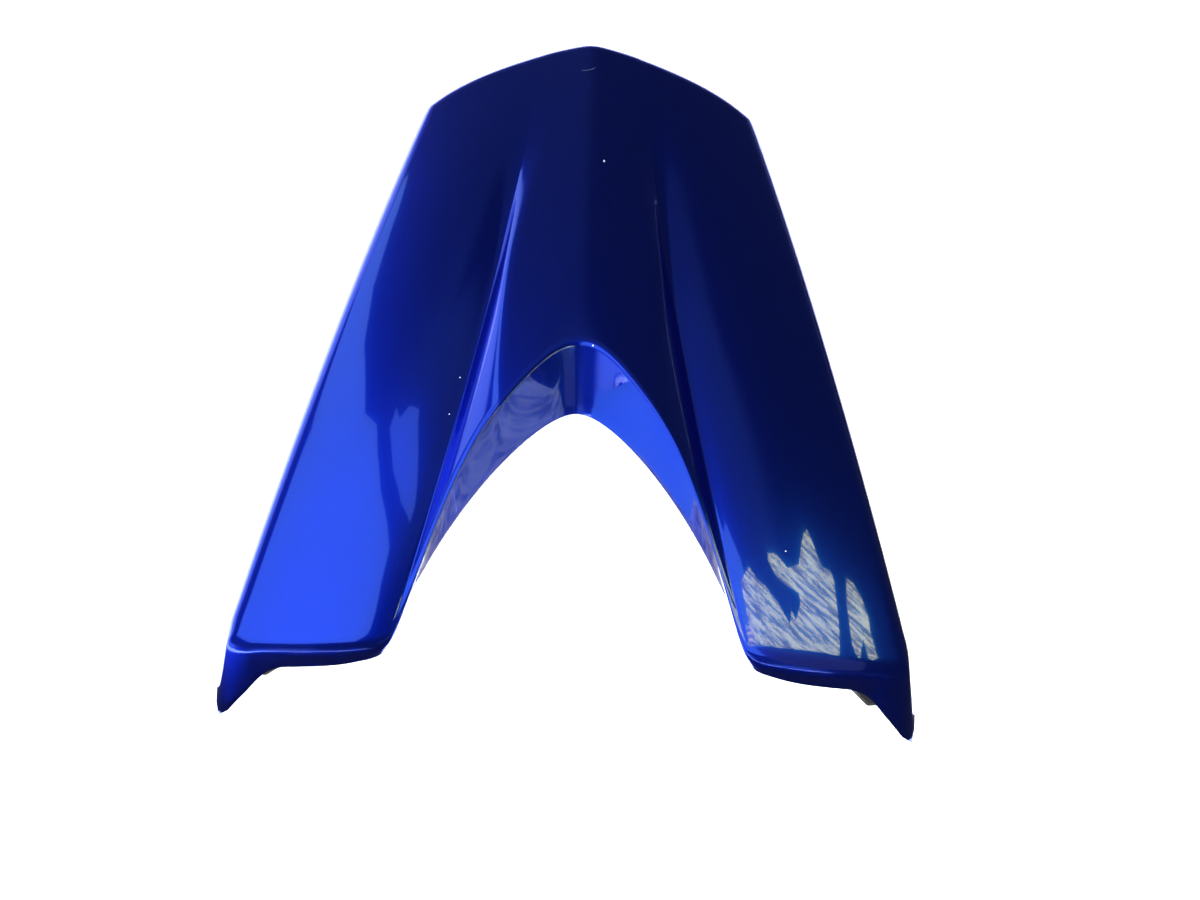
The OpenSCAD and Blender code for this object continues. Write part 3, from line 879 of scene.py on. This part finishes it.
# %% The tree of a boss
boss_graph, guide = size_tree("bosses", "Radius", "Bore radius", "Bore depth", "Lead in")


def moved(graph, shape, x=0.0, y=0.0, z=0.0):
    """A shape moved along the axes."""
    by = graph.node("ShaderNodeCombineXYZ", None, x, y, z)
    return graph.node("GeometryNodeTransform", None, Geometry=shape, Translation=by)


def post_of(depth, radius):
    """A round post standing on the origin."""
    solid = boss_graph.node(
        "GeometryNodeMeshCylinder", None, Depth=depth, Vertices=64, Radius=radius
    )
    return moved(boss_graph, solid, z=depth * 0.5)


def on_guide(shape, **scale):
    """The shape set on every guide point, as real meshes."""
    copies = boss_graph.node(
        "GeometryNodeInstanceOnPoints", None, Points=guide, Instance=shape, **scale
    )
    return boss_graph.node("GeometryNodeRealizeInstances", None, copies)


BELOW = 1.0 * MM
bore_radius, lead_in = guide.out("Bore radius"), guide.out("Lead in")
post = post_of(1.0, guide.out("Radius"))
stretch = boss_graph.node("ShaderNodeCombineXYZ", None, 1.0, 1.0, named(boss_graph, "height"))
bore = moved(boss_graph, post_of(guide.out("Bore depth") + BELOW, bore_radius), z=-BELOW)
lead = boss_graph.node(
    "GeometryNodeMeshCone", None,
    Vertices=64,
    Radius_Top=bore_radius * 0.9,
    Radius_Bottom=bore_radius + lead_in * 1.2,
    Depth=lead_in * 2.0 + BELOW / 10,
)
lead = moved(boss_graph, lead, z=lead_in * -0.4)
bored = on_guide(post, Scale=stretch)
for cutter in (bore, lead):
    bored = boss_graph.node(
        "GeometryNodeMeshBoolean", {"operation": "DIFFERENCE", "solver": "EXACT"},
        Mesh_1=bored, Mesh_2=on_guide(cutter),
    )
finish_tree(boss_graph, guide, bored)

# %% [markdown]
# Each boss ends in the middle of the wall above it, so its height is read from the top.

# %% Four screw bosses
boss_feet, boss_heights = [], []
flat_top = np.concatenate([top[free], edge])
for x, y in BOSSES:
    nearest = np.argmin(np.hypot(flat_top[:, 0] - x, flat_top[:, 1] - y))
    for side in (-1, 1):
        boss_feet.append((side * x, y, BOSS_FOOT))
        boss_heights.append((flat_top[nearest, 2] - WALL / 2 - BOSS_FOOT) * MM)
bosses = grow(
    "bosses", boss_graph, boss_feet, [], black_plastic, {"height": boss_heights},
    Radius=BOSS_D / 2, Bore_radius=BOSS_BORE / 2, Bore_depth=BOSS_DEPTH, Lead_in=0.5,
)

# %% [markdown]
# A tab is a flat plate that grows out of the wall near each front corner, with a hole for
# the screw that holds the cowl to the frame. The tree rounds the free corners of the
# outline, fills it round the hole and thickens it. The left one is 3 mm shorter, because no
# corner of it shows under the left lip in the photograph.

# %% The tree of a tab
tab_graph, guide = size_tree(
    "tabs", "Height", "Thickness", "Hole radius", "Hole x", "Hole y", "Corner"
)


def together(*shapes):
    """Several shapes as one."""
    joined = tab_graph.node("GeometryNodeJoinGeometry")
    for shape in shapes:
        tab_graph.tree.links.new(shape.socket, joined.socket.node.inputs[0])
    return joined


outline = tab_graph.node("GeometryNodeMeshToCurve", None, guide)
outline = tab_graph.node(
    "GeometryNodeFilletCurve", {"mode": "POLY"},
    Curve=outline, Count=6, Radius=guide.out("Corner"), Limit_Radius=True,
)
hole = tab_graph.node(
    "GeometryNodeCurvePrimitiveCircle", {"mode": "RADIUS"},
    Resolution=64, Radius=guide.out("Hole radius"),
)
hole = moved(tab_graph, hole, guide.out("Hole x"), guide.out("Hole y"))
sheet = tab_graph.node("GeometryNodeFillCurve", {"mode": "TRIANGLES"}, together(outline, hole))
sheet = moved(tab_graph, sheet, z=guide.out("Height"))
raised = tab_graph.node(
    "GeometryNodeExtrudeMesh", {"mode": "FACES"},
    Mesh=sheet,
    Offset=tab_graph.node("ShaderNodeCombineXYZ", None, Z=1.0),
    Offset_Scale=guide.out("Thickness"),
    Individual=False,
)
plate = together(raised, tab_graph.node("GeometryNodeFlipFaces", None, sheet))
plate = tab_graph.node("GeometryNodeMergeByDistance", None, plate, Distance=0.00001)
finish_tree(tab_graph, guide, plate)

# %% [markdown]
# A tab's outline follows the middle of the wall at the tab's height, and four free corners
# close it.

# %% Two fixing tabs
corner_at = WIDE_N + ROW_N
in_skirt = np.arange(corner_at - 6 * FINE, corner_at + FINE + 1, 2)
high, deep = foot[in_skirt], outer_lip[in_skirt]
share = ((high[:, 2] - TAB_H) / (high[:, 2] - deep[:, 2]))[:, None]
skirt_line = mix(high, deep, share) - WALL / 2 * ring_n[-1, in_skirt]
tabs = []
for side, nose in ((1, 3), (-1, 0)):
    free_edge = [
        (TAB_X + 3.5, -ARM_L - 12.5 - nose),
        (TAB_X - 0.5, -ARM_L - 13 - nose),
        (TAB_X - 10, -ARM_L - 6),
        (TAB_X - 11, -ARM_L + 12),
    ]
    plan_line = np.concatenate([skirt_line[:, :2], free_edge]) * [side, 1]
    count = len(plan_line)
    tab = grow(
        "tab_right" if side > 0 else "tab_left",
        tab_graph,
        np.column_stack([plan_line, np.zeros(count)]),
        [(m, (m + 1) % count) for m in range(count)],
        black_plastic,
        Height=TAB_H - TAB_T / 2,
        Thickness=TAB_T,
        Hole_radius=TAB_BORE / 2,
        Hole_x=side * TAB_X,
        Hole_y=-TAB_Y - DATUM_Y,
        Corner=1.8,
    )
    tabs.append(tab)


# %% [markdown]
# The ribs, posts and tabs were moulded in one shot with the skin. A Boolean union makes
# them one closed mesh, so that no hidden face is left inside a wall. Every part brings the
# same two finishes in the same order.

# %% One moulding
def weld(base, parts):
    """Joins closed parts into one closed mesh; the parts are bare plastic."""
    for part in parts:
        part.data.materials.clear()
        for finish in (candy_blue, black_plastic):
            part.data.materials.append(finish)
        part.data.polygons.foreach_set("material_index", [1] * len(part.data.polygons))
        layers = part.data.attributes
        far = layers.get("to_rim") or layers.new("to_rim", "FLOAT", "POINT")
        far.data.foreach_set("value", [FAR_IN] * len(part.data.vertices))
        union = base.modifiers.new("weld", "BOOLEAN")
        union.operation, union.solver, union.object = "UNION", "MANIFOLD", part
    joined = evaluated(base)
    base.modifiers.clear()
    base.data = joined
    for part in parts:
        bpy.data.objects.remove(part)


weld(shell, [ribs, bosses] + tabs)
shell.data.set_sharp_from_angle(angle=math.radians(50))
print("moulding:", len(shell.data.polygons), "faces")
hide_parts("cowl_shell")
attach(shell, "root")

# %% [markdown]
# ## Foam strips
# A strip of black foam is glued inside each arm's front lip, so that the cowl doesn't
# rattle on the seat. Both are old and torn: the lower edge is ragged and the ends are
# rounded off. Such a strip is only a few millimetres thick and glued flat, so it is
# modelled directly, ring by ring along the wall, and small noise tears it. The noise has a
# fixed seed, so the strips come out the same each time.

# %% The wall that the foam is glued to
FOAM_UP, FOAM_ROUND, FOAM_TEARS = 8, 0.7, 18
front_k = np.arange(corner_at + PANEL_N, corner_at - 1, -1)
wall_high, wall_low = lining[ROUND_N, front_k], inner_lip[front_k]


def behind_wall(x, z):
    """How far forward the inside of the front wall lies at a place across and a height."""
    share = (wall_high[:, 2] - z) / (wall_high[:, 2] - wall_low[:, 2])
    line = mix(wall_high, wall_low, share[:, None])
    return np.interp(x, line[:, 0], line[:, 1])


# %% One torn strip of foam
noise.seed_set(1)


def section(count, thick, tall, radius):
    """A rounded rectangle, anticlockwise from the middle of its foot."""
    a = np.linspace(0, 2 * np.pi, count, endpoint=False)
    c, s = np.sin(a), -np.cos(a)
    reach = np.maximum(np.abs(c) / (thick / 2), np.abs(s) / (tall / 2))
    box = np.stack([c, s], -1) / reach[:, None]
    flat = np.array([thick / 2 - radius, tall / 2 - radius])
    inner = np.clip(box, -flat, flat)
    off = box - inner
    length = np.maximum(1e-6, np.linalg.norm(off, axis=1))[:, None]
    return inner + off * np.minimum(1, radius / length)


def foam_strip(name, side, x0, length, reach0, reach1, rag):
    """A torn foam strip from x0 outward along one lip.

    It hangs below the lip by reach0 at its start and reach1 at its end, give or take the rag.
    """
    stations, around = int(length / 0.25), 72
    tears = np.arange(FOAM_TEARS + 1)
    tear_x = x0 + length * tears / FOAM_TEARS
    ragged = np.sin(np.radians(tears * 131)) + 0.6 * np.sin(np.radians(tears * 47))
    lips = np.interp(tear_x, wall_low[:, 0], wall_low[:, 2])
    feet = lips - mix(reach0, reach1, tears / FOAM_TEARS) + rag * ragged
    points = []
    for n in range(stations + 1):
        x = x0 + length * n / stations
        lip = np.interp(x, wall_low[:, 0], wall_low[:, 2])
        foot_z = np.interp(x, tear_x, feet)
        end = min(n, stations - n) * length / stations
        close = math.sqrt(1 - (1 - min(1, (end + 0.02) / 1.2)) ** 2)
        head_z = lip + FOAM_UP
        middle_z, tall = (head_z + foot_z) / 2, head_z - foot_z
        for q, w in section(around, FOAM_T, tall, FOAM_ROUND) * [close, 1 - 0.25 * (1 - close)]:
            place = Vector((x, q, w + middle_z))
            big, small = noise.noise_vector(place / 2.1), noise.noise_vector(place / 0.55)
            pore = max(0.0, 0.30 - noise.voronoi(place / 0.9)[0][0])
            q, w = (q, w) - np.sign((q, w)) * pore * 0.5
            z = max(foot_z - 0.1, w + middle_z + 0.16 * big.z + 0.07 * small.z)
            y = behind_wall(x, z) + 0.12 + max(0.0, q + FOAM_T / 2 + 0.14 * big.y + 0.06 * small.y)
            points.append((side * (x + 0.12 * big.x), y, z))
    rings_of = np.arange(len(points)).reshape(-1, around)
    faces = quads(rings_of, True).tolist()
    faces += [rings_of[0, ::-1].tolist(), rings_of[-1].tolist()]
    if side < 0:
        faces = [face[::-1] for face in faces]
    strip = piece(name, points, faces, foam_black)
    strip.data.polygons[-1].use_smooth = strip.data.polygons[-2].use_smooth = False
    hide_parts(name.replace("torn_", ""))
    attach(strip, "root")
    print(name, len(faces), "faces")


# %% Both strips
foam_strip("torn_foam_strip_left", -1, FRONT_X - FOAM_LEFT_IN, FOAM_LEFT_L, 2.2, 1.8, 0.5)
foam_strip("torn_foam_strip_right", 1, FRONT_X - FOAM_RIGHT_IN, FOAM_RIGHT_L, 1.4, 3.4, 0.08)

# %% [markdown]
# ## Floor, light and camera
# The photograph was taken from above the arms, looking down at 60 degrees from about 0.7
# metres, with the camera turned by 2.3 degrees. The floor is plain and pale.

# %% Camera
LENS, SENSOR = 45.0, 36.0
camera_data = bpy.data.cameras.new("view_from_the_arms")
camera_data.lens, camera_data.sensor_width = LENS, SENSOR
camera_data.shift_x, camera_data.shift_y = 0.02, -0.0011
camera_data.clip_start = 0.01
camera = bpy.data.objects.new("view_from_the_arms", camera_data)
bpy.context.collection.objects.link(camera)
camera.location = (0, -0.40003, 0.62756)
camera.rotation_euler = (math.radians(30), 0, 0)
camera.rotation_euler.rotate_axis("Z", math.radians(2.3))
bpy.context.scene.camera = camera
print("camera:", round(camera.location.length, 3), "m from the datum point")

# %% Floor
def rectangle(x0, x1, y0, y1, z):
    return [(x0, y0, z), (x1, y0, z), (x1, y1, z), (x0, y1, z)]


FLOOR = 3000
pale = Finish("pale_floor")
pale.close(pale.principled(Base_Color=(0.86, 0.87, 0.88, 1), Roughness=0.9))
floor_corners = rectangle(-FLOOR, FLOOR, -FLOOR, FLOOR, 0)
piece("floor", floor_corners, [range(4)], pale.material)
print("floor:", 2 * FLOOR * MM, "m wide")

# %% [markdown]
# Gloss is only as good as what it mirrors. The room is dim, a little lighter behind on the
# left, and has a wide window low on the left. The change straight behind the cowl is what
# splits the spine into a light and a dark half. What has a clear outline in the lacquer is a
# flat panel, and each outline is the place on a level plane that the paint mirrors there.

# %% The room that the paint mirrors
world = bpy.data.worlds.new("room")
world.use_nodes = True
world.node_tree.nodes.clear()
room = Graph(world.node_tree)
direction = room.node("ShaderNodeTexCoord").out("Generated")
ahead = room.node("ShaderNodeSeparateXYZ", None, direction)
turn = (0 - ahead).math("ARCTAN2", ahead.out("Y")) * math.degrees(1)
low = room.smooth(ahead.out("Z"), 0.36, 0.26)
window = room.smooth(turn, 36, 41) * room.smooth(turn, 145, 128)
doorway = room.smooth(ahead.out("Y"), -0.90, -0.95)
doorway = doorway * room.smooth(ahead.out("X"), 0.08, -0.08, 0.1, 1.0)
behind_left = room.smooth(turn, -10, 6)
overhead = room.smooth(ahead.out("Z"), 0.74, 0.92)
glow = 0.054 + behind_left * (0.045 + 0.045 * overhead) + low * (1.1 * window + 0.4 * doorway)
sky = room.node("ShaderNodeBackground", None, Color=(0.70, 0.90, 1.0, 1), Strength=glow)
room.node("ShaderNodeOutputWorld", None, Surface=sky)
bpy.context.scene.world = world
print("room:", len(room.tree.nodes), "nodes")

# %% [markdown]
# The panels are flat sheets that the lacquer mirrors. Over the left arm hang the window and
# the pane beside it. A round panel over the spine is a patch of sky that fades out to its
# edge, and two dark sheets keep the pale floor out of the lacquer.

# %% Panels and dark sheets
WINDOW_Z, NEAR_Z, SHEET_Z = 250, 120, 3


def shine(finish, colour, strength=1.0):
    """Light from a surface; a pattern comes in through the colour."""
    return finish.node("ShaderNodeEmission", None, Color=colour, Strength=strength)


def veiled(finish, clear, light):
    """Light that is see-through where clear is 1."""
    through = finish.node("ShaderNodeBsdfTransparent")
    return finish.close(finish.mixed(clear, light, through))


def plain_light(name, colour, strength):
    finish = Finish(name)
    return finish.close(shine(finish, (*colour, 1), strength))


def card(name, outline, finish, z=0, lights_room=False):
    """A flat stage panel that neither the camera sees nor a shadow falls from.

    Its corners are in millimetres of the design, and z is for those that come without a
    height. Only what lights the room falls on matt surfaces too.
    """
    corners = [(*corner, z)[:3] for corner in outline]
    flat = piece(name, corners, [range(len(corners))], finish)
    flat.visible_camera = flat.visible_shadow = False
    flat.visible_diffuse = lights_room
    print("panel:", name)


left_window = [
    (-430, 540), (-350, 466), (-335, 367), (-316, 285), (-271, 191), (-232, 136), (-195, 83),
    (-157, 57), (-132, 26), (-93, -14), (-50, -45), (-22, -65), (-16, -86), (-4, -109), (0, -300),
    (-260, -300), (-292, -130), (-296, 10), (-302, 70), (-310, 135), (-400, 300), (-480, 430),
]
left_pane = [
    (-96, -3), (-89, -11), (-81, -5), (-68, -9), (-64, -19), (-41, -56), (-36, -66), (-37, -75),
    (-59, -64), (-80, -44), (-97, -16),
]
window_light = plain_light("window_light", (0.50, 0.84, 1.0), 1.3)
pane_light = plain_light("pane_light", (0.55, 0.84, 1.0), 0.9)
card("window_left", left_window, window_light, WINDOW_Z, lights_room=True)
card("pane_left", left_pane, pane_light, NEAR_Z, lights_room=True)

PATCH_X, PATCH_Y, PATCH_Z, PATCH_R = -20, 20, WINDOW_Z + 1, 150
sky_patch = Finish("sky_patch")
outside_patch = 1 - sky_patch.near((PATCH_X, PATCH_Y, PATCH_Z), PATCH_R)
clear_sky = veiled(sky_patch, outside_patch, shine(sky_patch, (0.62, 0.86, 1.0, 1), 0.17))
around = [math.radians(30 * k) for k in range(12)]
patch_outline = [
    (PATCH_X + (PATCH_R + 5) * math.cos(a), PATCH_Y + (PATCH_R + 5) * math.sin(a)) for a in around
]
card("sky_patch", patch_outline, clear_sky, PATCH_Z)

dark_cloth = plain_light("dark_flag", (0.8, 0.9, 1.0), 0.05)
card("dark_flag_front", rectangle(-230, 158, -700, -152, SHEET_Z), dark_cloth)
card("dark_flag_right", rectangle(158, 1800, -1500, 900, SHEET_Z), dark_cloth)

# %% [markdown]
# The right wall of the arch mirrors an even blue light and the left one a mottled, duller
# light. So panels stand along both walls, and each shines to one side only and is clear
# from behind.

# %% Light in the arch
PANEL_FOOT = SHEET_Z + 1


def one_sided(finish, light):
    """Light from the front of a panel only."""
    return veiled(finish, finish.node("ShaderNodeNewGeometry").out("Backfacing"), light)


bounce = Finish("bounce_light")
bounce_light = one_sided(bounce, shine(bounce, (0.46, 0.90, 1.0, 1), 1.1))
mottle = Finish("mottled_light")
patches = 0.7 * mottle.noise(9, 2.0) + 0.3 * mottle.noise(3, 2.0)
patches = mottle.smooth(patches, 0.36, 0.62, 0.5, 2.0)
patches = mottle.vector("SCALE", Vector=(0.74, 0.66, 0.36), Scale=patches)
mottled_light = one_sided(mottle, shine(mottle, patches))
arch_run = [
    (3, -35, 69), (22, -50, 66), (33, -63, 62), (44, -80, 64), (55, -104, 66), (62, -124, 64),
]
for number, ((x0, y0, top0), (x1, y1, top1)) in enumerate(zip(arch_run, arch_run[1:]), 1):
    foot0, foot1 = (x0, y0, PANEL_FOOT), (x1, y1, PANEL_FOOT)
    to_left = [foot0, foot1, (x1, y1, top1), (x0, y0, top0)]
    to_right = [(-x, y, z) for x, y, z in (to_left[i] for i in (1, 0, 3, 2))]
    card(f"bounce_{number}", to_right, bounce_light)
    card(f"mottle_{number}", to_left, mottled_light)
arch_floor = [(-x, y) for x, y, _ in arch_run] + [(x, y) for x, y, _ in reversed(arch_run)]
card("mottle_below", arch_floor, mottled_light, SHEET_Z)

# %% [markdown]
# On the right arm the lacquer mirrors sun through leaves. The gaps between the leaves are
# panels over the arm, with fine slanting streaks of light and shade, and a dim warm panel
# below them is the haze at the arm's end.

# %% Sun through leaves
leaves = Finish("sun_through_leaves")
leaves.place = leaves.node(
    "ShaderNodeVectorRotate", {"rotation_type": "Z_AXIS"}, Vector=leaves.place, Angle=0.36
)
streaks = leaves.noise(1, 2.0, 0.5, stretch=(0.05, 0.36, 0.0))
fine_streaks = leaves.noise(1, 3.0, 0.6, stretch=(0.30, 1.3, 0.0))
sun = leaves.smooth(streaks * 0.6 + fine_streaks * 0.4, 0.44, 0.57, 1.6, 9.5)
warm_sun = leaves.vector("SCALE", Vector=(1.0, 0.76, 0.16), Scale=sun)
sunlight = leaves.close(shine(leaves, warm_sun))
leaf_gaps = [
    [
        (30, -100), (50, -91), (57, -96), (68, -100), (79, -107), (84, -113), (87, -117),
        (92, -109), (94, -113), (106, -117), (127, -128), (102, -129), (71, -133), (30, -134),
    ],
    [
        (78, -81), (87, -80), (97, -86), (109, -81), (119, -63), (125, -57), (127, -61),
        (130, -72), (132, -76), (139, -76), (140, -81), (137, -95), (134, -108), (127, -128),
        (102, -126), (95, -113), (102, -104), (103, -98), (92, -96), (83, -93), (77, -85),
    ],
    [
        (153, -75), (159, -76), (163, -82), (165, -92), (163, -100), (163, -122), (158, -138),
        (154, -126), (154, -108), (148, -117), (146, -130), (142, -115), (144, -105), (147, -91),
    ],
]
for number, gap in enumerate(leaf_gaps, 1):
    card(f"leaf_gap_{number}", gap, sunlight, NEAR_Z)
haze_outline = [
    (35, -136), (70, -135), (101, -134), (127, -136), (150, -150), (175, -330), (30, -330),
]
card("low_haze_right", haze_outline, plain_light("low_haze", (1.0, 0.85, 0.7), 0.25), NEAR_Z)

# %% [markdown]
# Two lamps light the floor and the arch. The lacquer doesn't mirror them.

# %% Lamps
def lamp(name, place, size, power):
    """A rectangular soft light aimed at the cowl, in metres and watts."""
    data = bpy.data.lights.new(name, "AREA")
    data.shape, data.size, data.size_y = "RECTANGLE", *size
    data.energy = power
    obj = bpy.data.objects.new(name, data)
    bpy.context.collection.objects.link(obj)
    obj.location = place
    obj.rotation_euler = (-Vector(place)).to_track_quat("-Z", "Y").to_euler()
    obj.visible_camera = obj.visible_glossy = False
    print("lamp:", name, power, "W")


lamp("floor_fill", (-0.7, 0.1, 1.6), (2.0, 2.0), 80)
lamp("arch_fill", (0.0, -1.0, 0.5), (1.4, 0.5), 60)
bpy.context.scene.view_settings.view_transform = "Standard"
